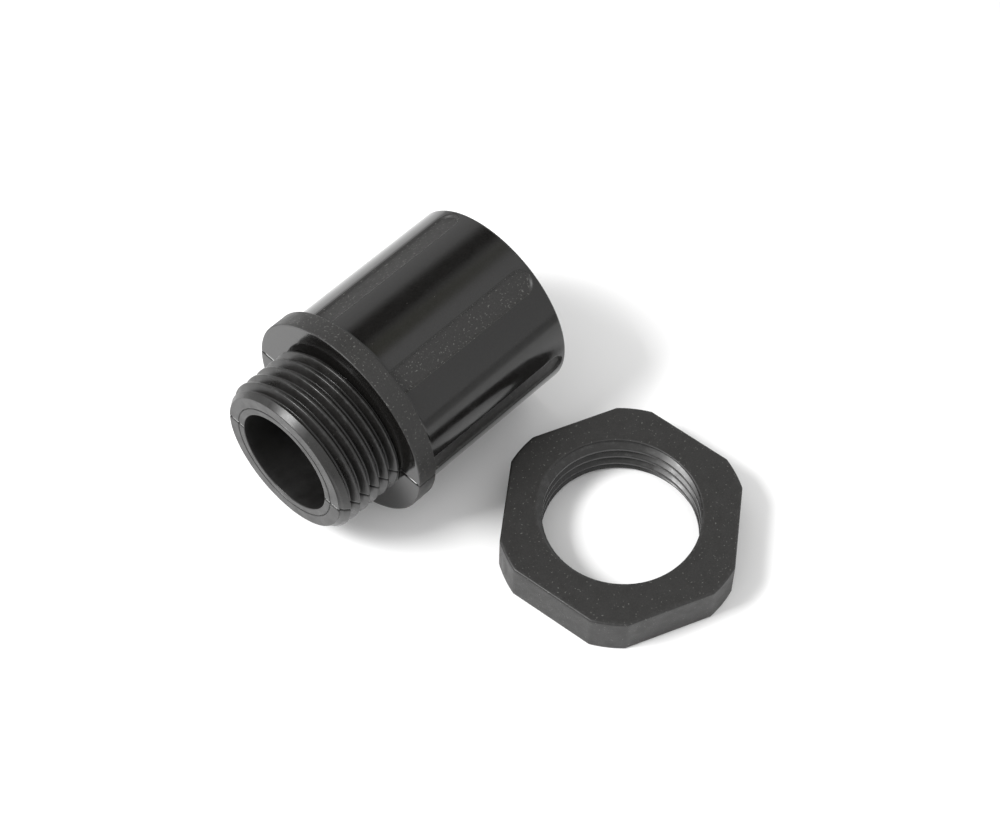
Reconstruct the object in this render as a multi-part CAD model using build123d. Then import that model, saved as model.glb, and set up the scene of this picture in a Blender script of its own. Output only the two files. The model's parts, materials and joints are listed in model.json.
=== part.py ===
"""Cable gland for 20 mm conduit: a threaded moulding with its locknut lying beside it.

Units are millimetres.  The moulding lies on its side, resting on the rim of its flange and on the
lower edge of its socket, and the locknut lies flat next to the socket.  +X runs along the moulding
from its thread to its socket, +Z is up, and the origin is at the middle of the pair, on the surface
that both rest on.
"""

import os
from math import atan
from math import cos
from math import degrees
from math import radians
from math import sin
from math import tan

from build123d import *

# ---- M20 x 1.5 thread, shared by both pieces
thread_pitch = 1.5
flank_angle = 30.0

# ---- gland body: threaded spigot, flange and conduit socket on one axis
spigot_length = 8.7
spigot_crest_radius = 9.8
spigot_root_radius = 8.9
spigot_root_flat = 0.23
spigot_lead_length = 1.2
spigot_tip_radius = 8.92
crest_at_parting = -4.8
neck_radius = 9.85
neck_height = 0.05

flange_radius = 12.95
flange_thickness = 2.6
flange_edge = 0.12

socket_radius = 12.05
socket_length = 22.3
socket_edge = 0.25

cable_bore_radius = 6.55
conduit_bore_radius = 10.1
conduit_bore_depth = 20.0
conduit_bore_lead = 0.5

# ---- shallow matte strips let into the outside of the socket
strip_count = 6
strip_first_angle = 30.0
strip_width = 3.2
strip_depth = 0.3
strip_to_mouth = 0.55

# ---- locknut: hexagon with its corners turned off
nut_across_flats = 27.0
nut_corner_radius = 14.53
nut_thickness = 5.65
nut_edge = 0.25
nut_crest_radius = 9.19
nut_root_radius = 10.05
nut_crest_flat = thread_pitch / 4
nut_top_lead_radius = 9.35
nut_bottom_lead_radius = 10.3
nut_groove_height = 0.8
nut_thread_overrun = 1.3

# ---- how the pair lies
body_roll = 1.0
nut_along = 16.74
nut_aside = 28.94
nut_turn = 6.85

# ---- small allowances used while joining and cutting
overlap = 0.5
flank_steps = 12


def polar(radius, angle):
    """Point on the XY plane from its radius and its angle in degrees."""
    return (radius * cos(radians(angle)), radius * sin(radians(angle)))


def cone_band(z_low, radius_low, z_high, radius_high):
    """Solid of revolution about Z between two heights, with a straight slanted side."""
    outline = Polyline(
        (0, 0, z_low),
        (radius_low, 0, z_low),
        (radius_high, 0, z_high),
        (0, 0, z_high),
        close=True,
    )
    return revolve(make_face(outline), Axis.Z)


def thread_rod(z_low, length, root_radius, root_flat, crest_radius, crest_flat, crest_height):
    """Right-hand threaded rod about Z: one crossways section, twisted once around per pitch.

    crest_height is a height at which the middle of the crest passes over the X axis.
    """
    crest_angle = crest_flat / thread_pitch * 360
    root_angle = root_flat / thread_pitch * 360
    flank_turn = (360 - crest_angle - root_angle) / 2

    def flank(start_radius, end_radius, start_angle):
        points = []
        for step in range(flank_steps + 1):
            share = step / flank_steps
            radius = start_radius + (end_radius - start_radius) * share
            points.append(polar(radius, start_angle + flank_turn * share))
        return Spline(points)

    edges = [
        ThreePointArc(*[polar(crest_radius, crest_angle * share) for share in (-0.5, 0, 0.5)]),
        flank(crest_radius, root_radius, crest_angle / 2),
        ThreePointArc(*[polar(root_radius, 180 + root_angle * share) for share in (-0.5, 0, 0.5)]),
        flank(root_radius, crest_radius, 180 + root_angle / 2),
    ]
    first_turn = (z_low - crest_height) / thread_pitch * 360
    section = Pos(0, 0, z_low) * (Rot(0, 0, first_turn) * make_face(edges))
    twist = length / thread_pitch * 360
    return Solid.extrude_linear_with_rotation(section.face(), (0, 0, z_low), (0, 0, length), twist)


def make_spigot():
    """Spigot with its external thread and a lead cone at its tip, below the flange face."""
    crest_height = crest_at_parting - thread_pitch / 4
    flank_width = (spigot_crest_radius - spigot_root_radius) * tan(radians(flank_angle))
    spigot = Part() + thread_rod(
        -spigot_length,
        spigot_length + overlap,
        spigot_root_radius,
        spigot_root_flat,
        spigot_crest_radius,
        thread_pitch - spigot_root_flat - 2 * flank_width,
        crest_height,
    )
    lead_slope = (spigot_crest_radius - spigot_tip_radius) / spigot_lead_length
    ring_radius = spigot_crest_radius + overlap
    lead_top = -spigot_length + spigot_lead_length + overlap / lead_slope
    ring = cone_band(-spigot_length, ring_radius, lead_top, ring_radius)
    ring -= cone_band(-spigot_length, spigot_tip_radius, lead_top, ring_radius)
    return spigot - ring


def make_strip_cutter(angle):
    """Tool for one strip: a flat-floored slot, open at the flange and full round at the mouth."""
    floor_distance = socket_radius - strip_depth
    half_width = strip_width / 2
    z_low = flange_thickness
    z_round = flange_thickness + socket_length - strip_to_mouth - half_width
    floor = Plane(origin=(floor_distance, 0, 0), x_dir=(0, 0, 1), z_dir=(1, 0, 0))
    straight = Pos((z_low + z_round) / 2, 0) * Rectangle(z_round - z_low, strip_width)
    rounded = Pos(z_round, 0) * Circle(half_width)
    slot = extrude(floor * (straight + rounded), 2 * strip_depth)
    return Rot(0, 0, angle) * slot


def make_gland_body():
    """One moulding about Z: spigot below Z = 0, flange above it, socket up to the mouth."""
    mouth = flange_thickness + socket_length
    flange = Cylinder(flange_radius, flange_thickness, align=(Align.CENTER, Align.CENTER, Align.MIN))
    flange = chamfer(flange.edges().filter_by(GeomType.CIRCLE), flange_edge)
    socket = Cylinder(socket_radius, mouth, align=(Align.CENTER, Align.CENTER, Align.MIN))
    socket = fillet(socket.edges().filter_by(GeomType.CIRCLE).sort_by(Axis.Z)[-1], socket_edge)
    for index in range(strip_count):
        socket -= make_strip_cutter(strip_first_angle + index * 360 / strip_count)
    body = flange + socket + make_spigot()
    body += cone_band(-neck_height, neck_radius, overlap, neck_radius)
    body -= cone_band(-spigot_length - overlap, cable_bore_radius, mouth, cable_bore_radius)
    body -= cone_band(mouth - conduit_bore_depth, conduit_bore_radius, mouth, conduit_bore_radius)
    lead_radius = conduit_bore_radius + conduit_bore_lead
    body -= cone_band(mouth - conduit_bore_lead, conduit_bore_radius, mouth, lead_radius)
    return body


def make_locknut():
    """Locknut flat on Z = 0 about the Z axis, with one pair of flats facing +X and -X."""
    hexagon = RegularPolygon(nut_across_flats / 2, 6, major_radius=False, rotation=30)
    outline = hexagon & Circle(nut_corner_radius)
    nut = extrude(outline, nut_thickness)
    rims = nut.edges().group_by(Axis.Z)
    nut = fillet(rims[0] + rims[-1], nut_edge)
    flank_width = (nut_root_radius - nut_crest_radius) * tan(radians(flank_angle))
    nut -= thread_rod(
        -nut_thread_overrun,
        nut_thickness + 2 * nut_thread_overrun,
        nut_crest_radius,
        nut_crest_flat,
        nut_root_radius,
        thread_pitch - nut_crest_flat - 2 * flank_width,
        nut_groove_height,
    )
    top_lead = nut_top_lead_radius - nut_crest_radius
    bottom_lead = nut_bottom_lead_radius - nut_crest_radius
    nut -= cone_band(nut_thickness - top_lead, nut_crest_radius, nut_thickness, nut_top_lead_radius)
    nut -= cone_band(0, nut_bottom_lead_radius, bottom_lead, nut_crest_radius)
    return nut


def lay_gland_body(body):
    """Turn the moulding onto its side so that it rests on its flange and its socket."""
    tilt = degrees(atan((flange_radius - socket_radius) / socket_length))
    return Rot(0, 90 + tilt, 0) * (Rot(0, 0, 180 + body_roll) * body)


def main():
    gland_body = lay_gland_body(make_gland_body())
    gland_body = Pos(0, 0, -gland_body.bounding_box().min.Z) * gland_body
    locknut = Pos(nut_along, -nut_aside, 0) * (Rot(0, 0, nut_turn) * make_locknut())
    pair = gland_body.bounding_box().add(locknut.bounding_box())
    to_origin = Pos(-pair.center().X, -pair.center().Y, 0)
    os.makedirs("parts", exist_ok=True)
    for name, piece in {"gland_body": gland_body, "locknut": locknut}.items():
        piece = to_origin * piece
        export_step(piece, "parts/" + name + ".step")
        size = piece.bounding_box().size
        print(name, "solids", len(piece.solids()), "volume", round(piece.volume, 1), "size", size)


main()
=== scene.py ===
import json
import math

import bpy
import numpy as np
from mathutils import Matrix, Vector


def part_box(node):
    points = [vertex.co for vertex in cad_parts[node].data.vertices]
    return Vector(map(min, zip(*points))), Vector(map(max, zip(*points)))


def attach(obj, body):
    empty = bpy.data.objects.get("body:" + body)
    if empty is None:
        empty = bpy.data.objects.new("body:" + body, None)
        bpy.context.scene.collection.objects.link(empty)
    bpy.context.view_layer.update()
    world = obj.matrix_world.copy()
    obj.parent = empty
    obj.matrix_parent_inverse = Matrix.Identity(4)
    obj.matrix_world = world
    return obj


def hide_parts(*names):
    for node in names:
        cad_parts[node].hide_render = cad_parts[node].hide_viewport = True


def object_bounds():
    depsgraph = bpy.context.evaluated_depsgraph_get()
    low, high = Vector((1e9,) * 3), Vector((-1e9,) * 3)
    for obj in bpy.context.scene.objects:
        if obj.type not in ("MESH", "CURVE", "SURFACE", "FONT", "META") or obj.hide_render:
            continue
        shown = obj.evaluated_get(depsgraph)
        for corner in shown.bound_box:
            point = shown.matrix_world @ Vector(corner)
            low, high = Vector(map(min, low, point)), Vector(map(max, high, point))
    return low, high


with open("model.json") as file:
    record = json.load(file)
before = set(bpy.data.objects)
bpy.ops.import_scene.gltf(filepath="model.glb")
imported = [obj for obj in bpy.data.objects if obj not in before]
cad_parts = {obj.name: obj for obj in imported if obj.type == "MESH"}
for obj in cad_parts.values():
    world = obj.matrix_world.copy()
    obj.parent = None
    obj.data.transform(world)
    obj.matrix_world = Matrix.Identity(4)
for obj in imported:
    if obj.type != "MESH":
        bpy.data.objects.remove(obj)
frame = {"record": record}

MM = 0.001
MOUNTS = {mount["name"]: mount for mount in frame["record"]["mounts"]}
CAD_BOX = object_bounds()

# ---- camera, in degrees and metres
CAMERA_AZIMUTH = -47.24
CAMERA_ELEVATION = 57.49
CAMERA_DISTANCE = 0.3316
CAMERA_ROLL = 1.48
CAMERA_TARGET = Vector((0.00886, 0.00857, 0))
CAMERA_LENS = 99.5

# ---- light: surroundings, then places in them as azimuth, elevation, inner and outer spread, shade
SURROUNDINGS = (0.98, 0.98, 0.98)
PLACES_AROUND = (
    (58, 60, 5, 14, (1.25, 1.25, 1.25)),
    (110, 68, 7, 13, (0.42, 0.42, 0.34)),
    (155, 24, 5, 12, (1.05, 1.05, 1.05)),
    (161, -2, 6, 14, (0.3, 0.3, 0.3)),
    (141, 52, 8, 18, (0.03, 0.03, 0.03)),
)
KEY_AZIMUTH = -120
KEY_ELEVATION = 49
KEY_DISTANCE = 0.8
KEY_SIZE = 0.26
KEY_POWER = 6.8
TABLE_HALF = 1.5
TABLE_WHITE_TO = 0.088
TABLE_GREY_FROM = 0.115
TABLE_GAP = 0.00002
TABLE_WHITE = (0.9, 0.9, 0.9)
TABLE_GREY = (0.42, 0.42, 0.42)

# ---- dust and scuffs on the plastic; noise scales are per metre, wear runs from 0 to 1
DUST_SCALE = 4200
DUST_COLOUR = (0.075, 0.075, 0.07)
SCUFF_SCALE = 1400
SCUFF_COLOUR = (0.05, 0.05, 0.05)
WARM_TINT = (1.0, 0.95, 0.9)
CREST_WEAR = 0.5
BODY_EDGE_WEAR = 1.0
NUT_EDGE_WEAR = 0.35
NUT_THREAD_WEAR = 0.5

# ---- M20 x 1.5 thread, in millimetres like every size below
PITCH = 1.5
FLANK_SLOPE = math.tan(math.radians(30))
THREAD_ROW = 0.045
THREAD_TAPS = (-0.025, -0.0125, 0.0, 0.0125, 0.025)

# ---- gland body, measured along its axis from the flange's front face
SPIGOT_TIP = -8.7
SPIGOT_CREST = 9.8
SPIGOT_ROOT = 8.9
SPIGOT_ROOT_FLAT = 0.23
SPIGOT_LEAD = 1.2
SPIGOT_TIP_RADIUS = 8.92
CREST_AT_PARTING = -4.8
CABLE_BORE = 6.55
CABLE_BORE_EDGE = 0.1
FLANGE_RADIUS = 12.95
FLANGE_BACK = 2.6
FLANGE_EDGE = 0.12
SOCKET_RADIUS = 12.05
SOCKET_MOUTH = 24.9
SOCKET_EDGE = 0.25
CONDUIT_BORE = 10.1
CONDUIT_STOP = 4.9
CONDUIT_LEAD = 0.5
STRIP_ANGLES = (30, 90, 150, 210, 270, 330)
STRIP_HALF_WIDTH = 1.6
STRIP_DEPTH = 0.3
STRIP_END = SOCKET_MOUTH - 0.55
STRIP_WALL = 0.36
STRIP_REACH = 0.3
STRIP_TEXTURED_FROM = 0.012
PARTING_ANGLES = (90, 270)
PARTING_STEP = 0.02
PARTING_WIDTH = 0.12
PARTING_DEPTH = 0.3
PARTING_ON_RIM = 0.4
PARTING_ON_FACES = 0.7
LIP_RADIUS = 7.45
LIP_WIDTH = 0.07
LIP_DEPTH = 0.14
# columns of the body about each strip's middle: from and to in degrees, and how many
COLUMN_STRETCHES = (
    (-30, -10, 8),
    (-10, -6.4, 12),
    (-6.4, -1.2, 8),
    (-1.2, 1.2, 4),
    (1.2, 6.4, 8),
    (6.4, 10, 12),
    (10, 30, 8),
)
PARTING_STRETCH = (-1.2, 1.2, 16)

# ---- locknut, measured up from its underside
NUT_FLAT = 13.5
NUT_CORNER = 14.53
NUT_HEIGHT = 5.65
NUT_EDGE = 0.25
NUT_CREST = 9.19
NUT_ROOT = 10.05
NUT_CREST_FLAT = PITCH / 4
NUT_GROOVE = 0.8
NUT_TOP_LEAD = 9.24
NUT_BOTTOM_LEAD = 9.8
GATE_ANGLE = 149
GATE_HEIGHT = 2.6
GATE_PROUD = 0.16
GATE_HALF_TURN = 2.2
GATE_HALF_HEIGHT = 1.4


# ======================================================================= meshes


def smooth_step(edge_low, edge_high, value):
    """Share from 0 to 1 between two edges, level at both."""
    share = np.clip((value - edge_low) / (edge_high - edge_low), 0, 1)
    return share * share * (3 - 2 * share)


def arc(centre, radius, start, end, steps):
    """Points of a round corner in the (along, radius) plane, angles in degrees."""
    turns = np.radians(np.linspace(start, end, steps + 1))
    return [(centre[0] + radius * math.cos(t), centre[1] + radius * math.sin(t)) for t in turns]


def line(start, end, steps):
    """Points of a straight stretch in the (along, radius) plane, without its last point."""
    shares = np.arange(steps) / steps
    return [tuple(np.array(start) + (np.array(end) - np.array(start)) * t) for t in shares]


def thread_radius(height, phi, crest, root, narrow_flat, crest_height):
    """Radius of a right-hand thread; narrow_flat is the width of its flat at the crest radius.

    It is averaged over a few heights close together, which rounds the thread's corners.
    """
    flank = abs(crest - root) * FLANK_SLOPE
    total = 0
    for tap in THREAD_TAPS:
        centre = crest_height + PITCH * phi / (2 * math.pi)
        offset = (height + tap - centre + PITCH / 2) % PITCH - PITCH / 2
        share = np.clip((np.abs(offset) - narrow_flat / 2) / flank, 0, 1)
        total = total + crest + (root - crest) * share
    return total / len(THREAD_TAPS)


def closed_loop_mesh(name, points, material_rows, wear, materials):
    """Mesh from a grid of points that closes on itself both ways, one material index per row."""
    rows, columns = points.shape[:2]
    index = np.arange(rows * columns).reshape(rows, columns)
    next_row = np.roll(index, -1, axis=0)
    next_column = np.roll(index, -1, axis=1)
    diagonal = np.roll(next_row, -1, axis=1)
    faces = np.stack([index, next_column, diagonal, next_row], axis=-1).reshape(-1, 4)
    mesh = bpy.data.meshes.new(name)
    mesh.vertices.add(rows * columns)
    mesh.vertices.foreach_set("co", points.reshape(-1).astype(np.float32))
    mesh.loops.add(faces.size)
    mesh.loops.foreach_set("vertex_index", faces.reshape(-1).astype(np.int32))
    mesh.polygons.add(len(faces))
    mesh.polygons.foreach_set("loop_start", np.arange(0, faces.size, 4).astype(np.int32))
    mesh.polygons.foreach_set("material_index", material_rows.reshape(-1).astype(np.int32))
    mesh.update(calc_edges=True)
    mesh.validate()
    mesh.shade_smooth()
    mesh.attributes.new("wear", "FLOAT", "POINT").data.foreach_set("value", wear.reshape(-1))
    for material in materials:
        mesh.materials.append(material)
    piece = bpy.data.objects.new(name, mesh)
    bpy.context.scene.collection.objects.link(piece)
    return piece


def axis_frame(origin, along, towards):
    """Matrix from millimetres about an axis to the row frame; local X points towards a point."""
    z_axis = along.normalized()
    x_axis = towards - z_axis * towards.dot(z_axis)
    x_axis.normalize()
    y_axis = z_axis.cross(x_axis)
    turn = Matrix((x_axis, y_axis, z_axis)).transposed().to_4x4()
    return Matrix.Translation(origin) @ turn @ Matrix.Scale(MM, 4)


def place(grid, matrix):
    """Turns a grid of (along, radius) pairs and its angles into points of the row frame."""
    along, radius, phi = grid
    local = np.stack([radius * np.cos(phi), radius * np.sin(phi), along], axis=-1)
    rotation = np.array(matrix)[:3, :3]
    return local @ rotation.T + np.array(matrix)[:3, 3]


def body_columns():
    """Angles of the body's columns: close together at strip walls and at the parting line."""
    steps = []
    for centre in STRIP_ANGLES:
        for stretch in COLUMN_STRETCHES:
            at_parting = centre in PARTING_ANGLES and stretch[:2] == PARTING_STRETCH[:2]
            start, end, count = PARTING_STRETCH if at_parting else stretch
            steps += list(centre + np.linspace(start, end, count + 1)[:-1])
    return np.radians(np.array(steps))


def turn_from(phi, angle):
    """Signed turn in radians from an angle in degrees, the short way round."""
    return (phi - math.radians(angle) + math.pi) % (2 * math.pi) - math.pi


def parting_gap(phi, radius):
    """Depth of the fine line that the mould's parting plane leaves, by distance from it."""
    depth = np.zeros_like(radius)
    for angle in PARTING_ANGLES:
        turn = turn_from(phi, angle)
        depth = np.maximum(depth, np.exp(-((turn * radius / PARTING_WIDTH) ** 2)))
    return depth * PARTING_DEPTH


def strip_floor(along, phi):
    """How far the socket's surface is let in at the strips."""
    depth = np.zeros_like(along)
    for angle in STRIP_ANGLES:
        turn = turn_from(phi, angle)
        near = np.abs(turn) < STRIP_REACH
        across = SOCKET_RADIUS * np.sin(np.where(near, turn, STRIP_REACH))
        past = np.maximum(along - (STRIP_END - STRIP_HALF_WIDTH), 0)
        outside = np.hypot(across, past) - STRIP_HALF_WIDTH
        floor = SOCKET_RADIUS - (SOCKET_RADIUS - STRIP_DEPTH) / np.cos(turn)
        share = 1 - smooth_step(-STRIP_WALL, 0.0, outside)
        depth = np.where(near, np.maximum(depth, np.maximum(floor, 0) * share), depth)
    return depth


def body_stages(polished, textured, threaded, shaded_bore):
    """Outline of the body's half section, once round: along, radius, kind and material index.

    In the stages of the flange's front face the second number isn't a radius but the share of
    the way from the thread to the rim.
    """
    tip = SPIGOT_TIP
    stages = []

    def stage(points, kind, material):
        stages.extend((point[0], point[1], kind, material) for point in points)

    edge_end = tip + CABLE_BORE_EDGE
    end_inner = CABLE_BORE + CABLE_BORE_EDGE
    # the bore rows take the darker copy of the plastic: painted shade inside the holes
    stage(line((CONDUIT_STOP, CABLE_BORE), (edge_end, CABLE_BORE), 14), "plain", shaded_bore)
    stage(arc((edge_end, end_inner), CABLE_BORE_EDGE, -90, -180, 4)[:-1], "plain", threaded)
    lip_inner, lip_outer = LIP_RADIUS - 3 * LIP_WIDTH, LIP_RADIUS + 3 * LIP_WIDTH
    stage(line((tip, end_inner), (tip, lip_inner), 10), "end", threaded)
    stage(line((tip, lip_inner), (tip, lip_outer), 14), "end", threaded)
    stage(line((tip, lip_outer), (tip, SPIGOT_TIP_RADIUS), 14), "end", threaded)
    thread_rows = int(-tip / THREAD_ROW)
    stage(line((tip, SPIGOT_TIP_RADIUS), (0, SPIGOT_TIP_RADIUS), thread_rows), "thread", threaded)
    stage([(0, share) for share in np.linspace(0, 1, 14)[:-1]], "face", polished)
    front = arc((FLANGE_EDGE, FLANGE_RADIUS - FLANGE_EDGE), FLANGE_EDGE, 180, 90, 4)
    stage(front[:-1], "plain", textured)
    back_start = FLANGE_BACK - FLANGE_EDGE
    stage(line((FLANGE_EDGE, FLANGE_RADIUS), (back_start, FLANGE_RADIUS), 10), "plain", textured)
    back = arc((back_start, FLANGE_RADIUS - FLANGE_EDGE), FLANGE_EDGE, 90, 0, 4)
    stage(back[:-1], "plain", textured)
    back_face = line((FLANGE_BACK, FLANGE_RADIUS - FLANGE_EDGE), (FLANGE_BACK, SOCKET_RADIUS), 4)
    stage(back_face, "plain", textured)
    round_start = STRIP_END - STRIP_HALF_WIDTH - 0.2
    stage(line((FLANGE_BACK, SOCKET_RADIUS), (round_start, SOCKET_RADIUS), 30), "socket", polished)
    edge_start = SOCKET_MOUTH - SOCKET_EDGE
    stage(line((round_start, SOCKET_RADIUS), (edge_start, SOCKET_RADIUS), 30), "socket", polished)
    mouth = arc((edge_start, SOCKET_RADIUS - SOCKET_EDGE), SOCKET_EDGE, 90, 0, 6)
    stage(mouth[:-1], "plain", polished)
    lead_radius = CONDUIT_BORE + CONDUIT_LEAD
    rim = line((SOCKET_MOUTH, SOCKET_RADIUS - SOCKET_EDGE), (SOCKET_MOUTH, lead_radius), 5)
    stage(rim, "plain", polished)
    lead_end = SOCKET_MOUTH - CONDUIT_LEAD
    # painted shade: the conduit bore also takes the darker copy of the plastic
    stage(line((SOCKET_MOUTH, lead_radius), (lead_end, CONDUIT_BORE), 5), "plain", shaded_bore)
    stage(line((lead_end, CONDUIT_BORE), (CONDUIT_STOP, CONDUIT_BORE), 30), "plain", shaded_bore)
    stage(line((CONDUIT_STOP, CONDUIT_BORE), (CONDUIT_STOP, CABLE_BORE), 8), "plain", shaded_bore)
    return stages


def build_body(matrix, materials):
    """The gland body as one closed mesh; materials are polished, textured, threaded, and the bores'
    darker copy that carries painted shade.
    """
    polished, textured, threaded, shaded_bore = range(4)
    stages = body_stages(polished, textured, threaded, shaded_bore)
    tip = SPIGOT_TIP
    phi = body_columns()
    along = np.array([row[0] for row in stages])[:, None] + np.zeros_like(phi)[None, :]
    radius = np.array([row[1] for row in stages])[:, None] + np.zeros_like(phi)[None, :]
    kinds = np.array([row[2] for row in stages])
    angle = np.zeros_like(radius) + phi[None, :]

    flank = (SPIGOT_CREST - SPIGOT_ROOT) * FLANK_SLOPE
    crest_flat = PITCH - SPIGOT_ROOT_FLAT - 2 * flank
    crest_height = CREST_AT_PARTING - PITCH / 4
    lead = SPIGOT_TIP_RADIUS + (along - tip) * (SPIGOT_CREST - SPIGOT_TIP_RADIUS) / SPIGOT_LEAD
    wound = thread_radius(along, angle, SPIGOT_CREST, SPIGOT_ROOT, crest_flat, crest_height)
    threaded_radius = np.minimum(wound, lead)
    is_thread = kinds == "thread"
    radius[is_thread] = threaded_radius[is_thread]
    base = threaded_radius[np.flatnonzero(kinds == "face")[0]]
    for row in np.flatnonzero(kinds == "face"):
        share = stages[row][1]
        radius[row] = base + (FLANGE_RADIUS - FLANGE_EDGE - base) * share
    is_socket = kinds == "socket"
    radius[is_socket] -= strip_floor(along[is_socket], angle[is_socket])

    gap = parting_gap(angle, radius)
    is_rim = (kinds == "plain") & (radius[:, 0] > SOCKET_RADIUS + 0.1)
    radius[is_rim] -= PARTING_ON_RIM * gap[is_rim]
    lower_half = 0.5 - 0.5 * np.tanh(radius * np.cos(angle) / 0.02)
    radius[is_thread] -= gap[is_thread] + PARTING_STEP * lower_half[is_thread]
    facing = kinds == "face"
    beyond_thread = np.clip((radius[facing] - base - 0.2) / 0.3, 0, 1)
    along[facing] += PARTING_ON_FACES * gap[facing] * beyond_thread
    ending = kinds == "end"
    lip = LIP_DEPTH * np.exp(-(((radius - LIP_RADIUS) / LIP_WIDTH) ** 2))
    along[ending] += (PARTING_ON_FACES * gap + lip)[ending]

    slots = np.array([row[3] for row in stages])[:, None] + np.zeros(phi.shape, int)[None, :]
    in_strip = strip_floor(along, angle) > STRIP_TEXTURED_FROM
    slots[is_socket] = np.where(in_strip[is_socket], textured, polished)
    wear = np.zeros_like(radius)
    crest_edge = smooth_step(SPIGOT_CREST - 0.3, SPIGOT_CREST - 0.1, threaded_radius)
    wear[is_thread] = CREST_WEAR * crest_edge[is_thread]
    wear[(radius > FLANGE_RADIUS - 0.11) & (along < FLANGE_EDGE)] = BODY_EDGE_WEAR
    wear[(along < tip + 0.06) & (radius < CABLE_BORE + CABLE_BORE_EDGE)] = BODY_EDGE_WEAR
    points = place((along, radius, angle), matrix)
    return closed_loop_mesh("gland_body_moulding", points, slots, wear, materials)


def nut_columns():
    """Angles of the locknut's columns, close together where a flat meets a turned-off corner."""
    turn = math.degrees(math.acos(NUT_FLAT / NUT_CORNER))
    steps = []
    for centre in range(0, 360, 60):
        steps += list(centre + np.linspace(-turn, turn, 37)[:-1])
        steps += list(centre + np.linspace(turn, 60 - turn, 19)[:-1])
    return np.radians(np.array(steps))


def nut_outline(phi, inset):
    """Radius of the hexagon with its corners turned off, drawn in by inset."""
    sector = (phi + math.pi / 6) % (math.pi / 3) - math.pi / 6
    return np.minimum((NUT_FLAT - inset) / np.cos(sector), NUT_CORNER - inset)


def build_nut(matrix, materials):
    """The locknut as one closed mesh; materials are its skin and its thread."""
    skin, threaded = range(2)
    phi = nut_columns()
    flank = (NUT_ROOT - NUT_CREST) * FLANK_SLOPE
    groove_flat = PITCH - NUT_CREST_FLAT - 2 * flank
    rows = []

    def hole(height):
        wound = thread_radius(height, phi, NUT_ROOT, NUT_CREST, groove_flat, NUT_GROOVE)
        top = NUT_TOP_LEAD - (NUT_HEIGHT - height)
        bottom = NUT_BOTTOM_LEAD - height
        return np.maximum(wound, np.maximum(top, bottom))

    quarter = np.radians(np.linspace(0, 90, 6))
    for turn in quarter:
        inset = NUT_EDGE * (1 - math.sin(turn))
        rows.append((NUT_EDGE * (1 - math.cos(turn)), nut_outline(phi, inset), skin))
    for height in np.linspace(NUT_EDGE, NUT_HEIGHT - NUT_EDGE, 12)[1:-1]:
        rows.append((height, nut_outline(phi, 0), skin))
    for turn in quarter[::-1]:
        inset = NUT_EDGE * (1 - math.sin(turn))
        height = NUT_HEIGHT - NUT_EDGE * (1 - math.cos(turn))
        rows.append((height, nut_outline(phi, inset), skin))
    outer_rows = len(rows)
    rim = nut_outline(phi, NUT_EDGE)
    for share in np.linspace(0, 1, 14)[1:-1]:
        rows.append((NUT_HEIGHT, rim + (hole(NUT_HEIGHT) - rim) * share, skin))
    for height in np.linspace(NUT_HEIGHT, 0, int(NUT_HEIGHT / THREAD_ROW)):
        rows.append((height, hole(height), threaded))
    for share in np.linspace(0, 1, 10)[1:-1]:
        rows.append((0, hole(0) + (rim - hole(0)) * share, skin))

    along = np.stack([np.full_like(phi, row[0]) for row in rows])
    radius = np.stack([row[1] for row in rows])
    angle = np.zeros_like(radius) + phi[None, :]
    slots = np.stack([np.full(phi.shape, row[2]) for row in rows])
    outer = np.arange(len(rows))[:, None] < outer_rows
    gate_turn = (np.degrees(angle) - GATE_ANGLE) / GATE_HALF_TURN
    gate_rise = (along - GATE_HEIGHT) / GATE_HALF_HEIGHT
    gate = np.exp(-(gate_turn**4) - gate_rise**4)
    ripple = 0.6 + 0.4 * np.sin(7 * along) * np.cos(3.1 * GATE_HALF_TURN * gate_turn)
    radius += np.where(outer, GATE_PROUD * gate * ripple, 0)
    wear = np.where(outer & (along > NUT_HEIGHT - NUT_EDGE), NUT_EDGE_WEAR, 0.0)
    wear = np.maximum(wear, np.where(slots == threaded, NUT_THREAD_WEAR, 0.0))
    points = place((along, radius, angle), matrix)
    return closed_loop_mesh("locknut_moulding", points, slots, wear, materials)


# ==================================================================== materials


def new_material(name):
    """A material with nodes, and what is needed to build on it."""
    material = bpy.data.materials.new(name)
    material.use_nodes = True
    nodes = material.node_tree.nodes
    return material, nodes, material.node_tree.links, nodes["Principled BSDF"]


def noise(nodes, links, coordinates, scale, detail, roughness=0.5):
    """Noise of a given scale, in cycles per metre."""
    node = nodes.new("ShaderNodeTexNoise")
    node.inputs["Scale"].default_value = scale
    node.inputs["Detail"].default_value = detail
    node.inputs["Roughness"].default_value = roughness
    links.new(coordinates, node.inputs["Vector"])
    return node.outputs["Fac"]


def ramp(nodes, links, source, low, high, low_value, high_value):
    """Maps low to low_value and high to high_value, and holds beyond both."""
    node = nodes.new("ShaderNodeMapRange")
    node.clamp = True
    node.inputs["From Min"].default_value = low
    node.inputs["From Max"].default_value = high
    node.inputs["To Min"].default_value = low_value
    node.inputs["To Max"].default_value = high_value
    links.new(source, node.inputs["Value"])
    return node.outputs["Result"]


def mix_colour(nodes, links, share, first, second):
    """Colour mix by a mask; first and second are colours or the outputs of other nodes."""
    node = nodes.new("ShaderNodeMix")
    node.data_type = "RGBA"
    links.new(share, node.inputs["Factor"])
    for socket, value in (("A", first), ("B", second)):
        if isinstance(value, tuple):
            node.inputs[socket].default_value = (*value, 1)
        else:
            links.new(value, node.inputs[socket])
    return node.outputs["Result"]


def product(nodes, links, first, second):
    node = nodes.new("ShaderNodeMath")
    node.operation = "MULTIPLY"
    links.new(first, node.inputs[0])
    links.new(second, node.inputs[1])
    return node.outputs["Value"]


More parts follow.
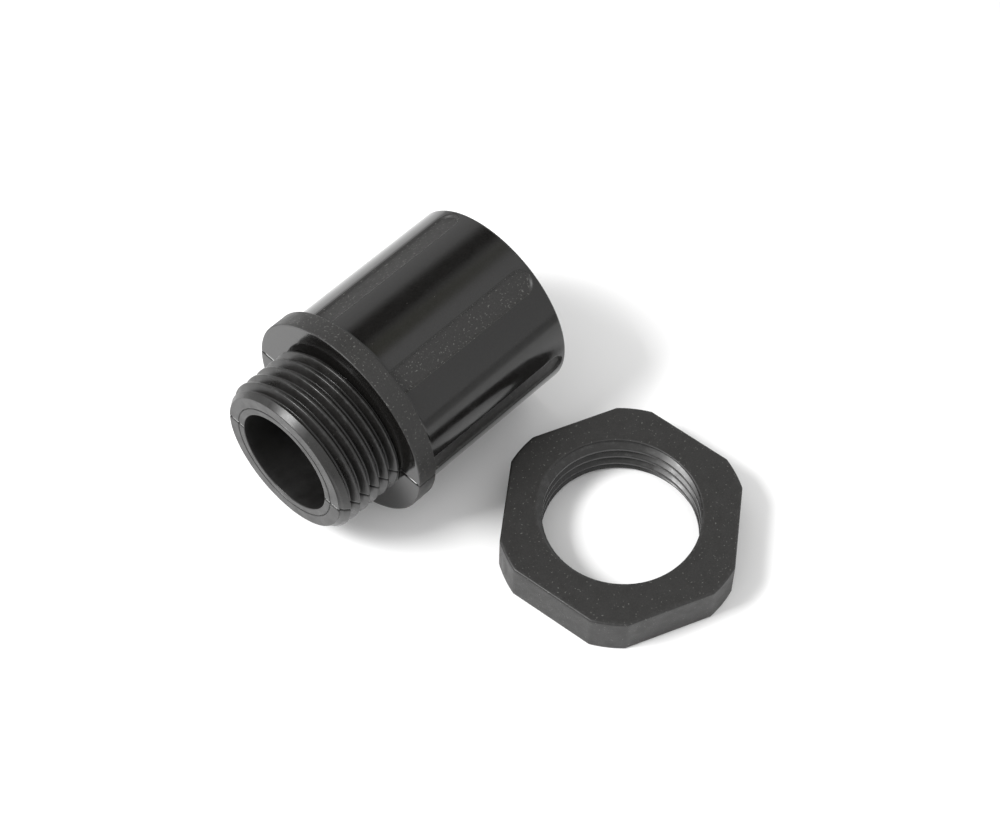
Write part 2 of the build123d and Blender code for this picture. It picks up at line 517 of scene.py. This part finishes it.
def black_plastic(name, shade, gloss, grain_scale, grain_height, dust_level):
    """Black moulded plastic: mottled shade, gloss range, grain, sparse pale dust, worn edges."""
    material, nodes, links, shader = new_material(name)
    coordinates = nodes.new("ShaderNodeTexCoord").outputs["Object"]
    cloud = noise(nodes, links, coordinates, 700, 3)
    mottle = noise(nodes, links, coordinates, 6500, 2, 0.6)
    mottle_share = ramp(nodes, links, mottle, 0.3, 0.7, 0, 1)
    dark, light = [tuple(share * shade * tint for tint in WARM_TINT) for share in (0.65, 1.4)]
    colour = mix_colour(nodes, links, mottle_share, dark, light)
    dust = noise(nodes, links, coordinates, DUST_SCALE, 1)
    dust_share = ramp(nodes, links, dust, dust_level, dust_level + 0.035, 0, 1)
    colour = mix_colour(nodes, links, dust_share, colour, DUST_COLOUR)
    wear = nodes.new("ShaderNodeAttribute")
    wear.attribute_name = "wear"
    scuff = noise(nodes, links, coordinates, SCUFF_SCALE, 4, 0.7)
    scuff_share = ramp(nodes, links, scuff, 0.5, 0.72, 0, 1)
    worn = product(nodes, links, wear.outputs["Fac"], scuff_share)
    colour = mix_colour(nodes, links, worn, colour, SCUFF_COLOUR)
    links.new(colour, shader.inputs["Base Color"])
    links.new(ramp(nodes, links, cloud, 0.3, 0.7, *gloss), shader.inputs["Roughness"])
    grain = noise(nodes, links, coordinates, grain_scale, 2, 0.6)
    bump = nodes.new("ShaderNodeBump")
    bump.inputs["Distance"].default_value = grain_height
    links.new(grain, bump.inputs["Height"])
    links.new(bump.outputs["Normal"], shader.inputs["Normal"])
    return material


# ======================================================================== scene


def make_floor():
    """White table that turns a little greyer some way out from the object."""
    material, nodes, links, shader = new_material("pale_table")
    coordinates = nodes.new("ShaderNodeTexCoord").outputs["Object"]
    cloud = noise(nodes, links, coordinates, 20, 2)
    links.new(ramp(nodes, links, cloud, 0, 1, 0.55, 0.65), shader.inputs["Roughness"])
    distance = nodes.new("ShaderNodeVectorMath")
    distance.operation = "LENGTH"
    links.new(coordinates, distance.inputs[0])
    away = ramp(nodes, links, distance.outputs["Value"], TABLE_WHITE_TO, TABLE_GREY_FROM, 0, 1)
    colour = mix_colour(nodes, links, away, TABLE_WHITE, TABLE_GREY)
    links.new(colour, shader.inputs["Base Color"])
    mesh = bpy.data.meshes.new("table")
    edge = TABLE_HALF
    corners = [(-edge, -edge, 0), (edge, -edge, 0), (edge, edge, 0), (-edge, edge, 0)]
    mesh.from_pydata(corners, [], [(0, 1, 2, 3)])
    mesh.materials.append(material)
    table = bpy.data.objects.new("table", mesh)
    bpy.context.scene.collection.objects.link(table)
    table.location.z = CAD_BOX[0].z - TABLE_GAP


def view_vector(azimuth, elevation):
    """Unit vector from the object towards a viewer at that azimuth and elevation."""
    a, e = math.radians(azimuth), math.radians(elevation)
    return Vector((math.sin(a) * math.cos(e), -math.cos(a) * math.cos(e), math.sin(e)))


def make_camera():
    data = bpy.data.cameras.new("camera")
    data.lens = CAMERA_LENS
    data.sensor_width = 36.0
    data.clip_start = 0.01
    camera = bpy.data.objects.new("camera", data)
    back = view_vector(CAMERA_AZIMUTH, CAMERA_ELEVATION)
    camera.location = CAMERA_TARGET + back * CAMERA_DISTANCE
    camera.rotation_mode = "QUATERNION"
    aim = (-back).to_track_quat("-Z", "Y")
    roll = Matrix.Rotation(math.radians(CAMERA_ROLL), 3, "Z").to_quaternion()
    camera.rotation_quaternion = aim @ roll
    bpy.context.scene.collection.objects.link(camera)
    bpy.context.scene.camera = camera


def make_surroundings():
    """Pale surroundings with a few darker and brighter places in them."""
    world = bpy.data.worlds.new("studio")
    world.use_nodes = True
    nodes, links = world.node_tree.nodes, world.node_tree.links
    direction = nodes.new("ShaderNodeTexCoord").outputs["Generated"]
    colour = SURROUNDINGS
    for azimuth, elevation, inner, outer, shade in PLACES_AROUND:
        along = nodes.new("ShaderNodeVectorMath")
        along.operation = "DOT_PRODUCT"
        along.inputs[1].default_value = view_vector(azimuth, elevation)
        links.new(direction, along.inputs[0])
        far, near = math.cos(math.radians(outer)), math.cos(math.radians(inner))
        share = ramp(nodes, links, along.outputs["Value"], far, near, 0, 1)
        colour = mix_colour(nodes, links, share, colour, shade)
    links.new(colour, nodes["Background"].inputs["Color"])
    bpy.context.scene.world = world
    bpy.context.scene.view_settings.view_transform = "Standard"


def make_key_light():
    """One square light that casts the soft shadows."""
    data = bpy.data.lights.new("key", "AREA")
    data.shape = "SQUARE"
    data.size = KEY_SIZE
    data.energy = KEY_POWER
    lamp = bpy.data.objects.new("key", data)
    towards = view_vector(KEY_AZIMUTH, KEY_ELEVATION)
    lamp.location = towards * KEY_DISTANCE
    lamp.rotation_mode = "QUATERNION"
    lamp.rotation_quaternion = (-towards).to_track_quat("-Z", "Y")
    bpy.context.scene.collection.objects.link(lamp)


make_camera()
make_surroundings()
make_key_light()
make_floor()

polished = black_plastic("polished_black", 0.007, (0.1, 0.16), 1500, 0.0000005, 0.8)
textured = black_plastic("textured_black", 0.012, (0.42, 0.55), 7000, 0.000014, 0.665)
threaded = black_plastic("thread_black", 0.009, (0.26, 0.42), 2500, 0.000002, 0.76)
# painted shade: the bores get a darker copy of the same black plastic than the rest of the moulding
shaded_bore = black_plastic("bore_black_painted_shade", 0.005, (0.4, 0.5), 3000, 0.000005, 0.9)
nut_skin = black_plastic("nut_black", 0.010, (0.42, 0.52), 7000, 0.000014, 0.70)

panel = MOUNTS["panel_face"]
socket_axis = -Vector(panel["axis"])
on_axis = Vector(MOUNTS["conduit_socket"]["pos_m"])
panel_point = Vector(panel["pos_m"])
flange_centre = on_axis + socket_axis * (panel_point - on_axis).dot(socket_axis)
body_matrix = axis_frame(flange_centre, socket_axis, panel_point - flange_centre)
body = build_body(body_matrix, [polished, textured, threaded, shaded_bore])
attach(body, "body")
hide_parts("gland_body")

nut_face = Vector(MOUNTS["locknut_face"]["pos_m"])
nut_hole = Vector(MOUNTS["locknut_thread"]["pos_m"])
nut_origin = Vector((nut_hole.x, nut_hole.y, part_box("locknut")[0].z))
nut_matrix = axis_frame(nut_origin, Vector((0, 0, 1)), nut_face - nut_origin)
nut = build_nut(nut_matrix, [nut_skin, threaded])
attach(nut, "nut")
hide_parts("locknut")
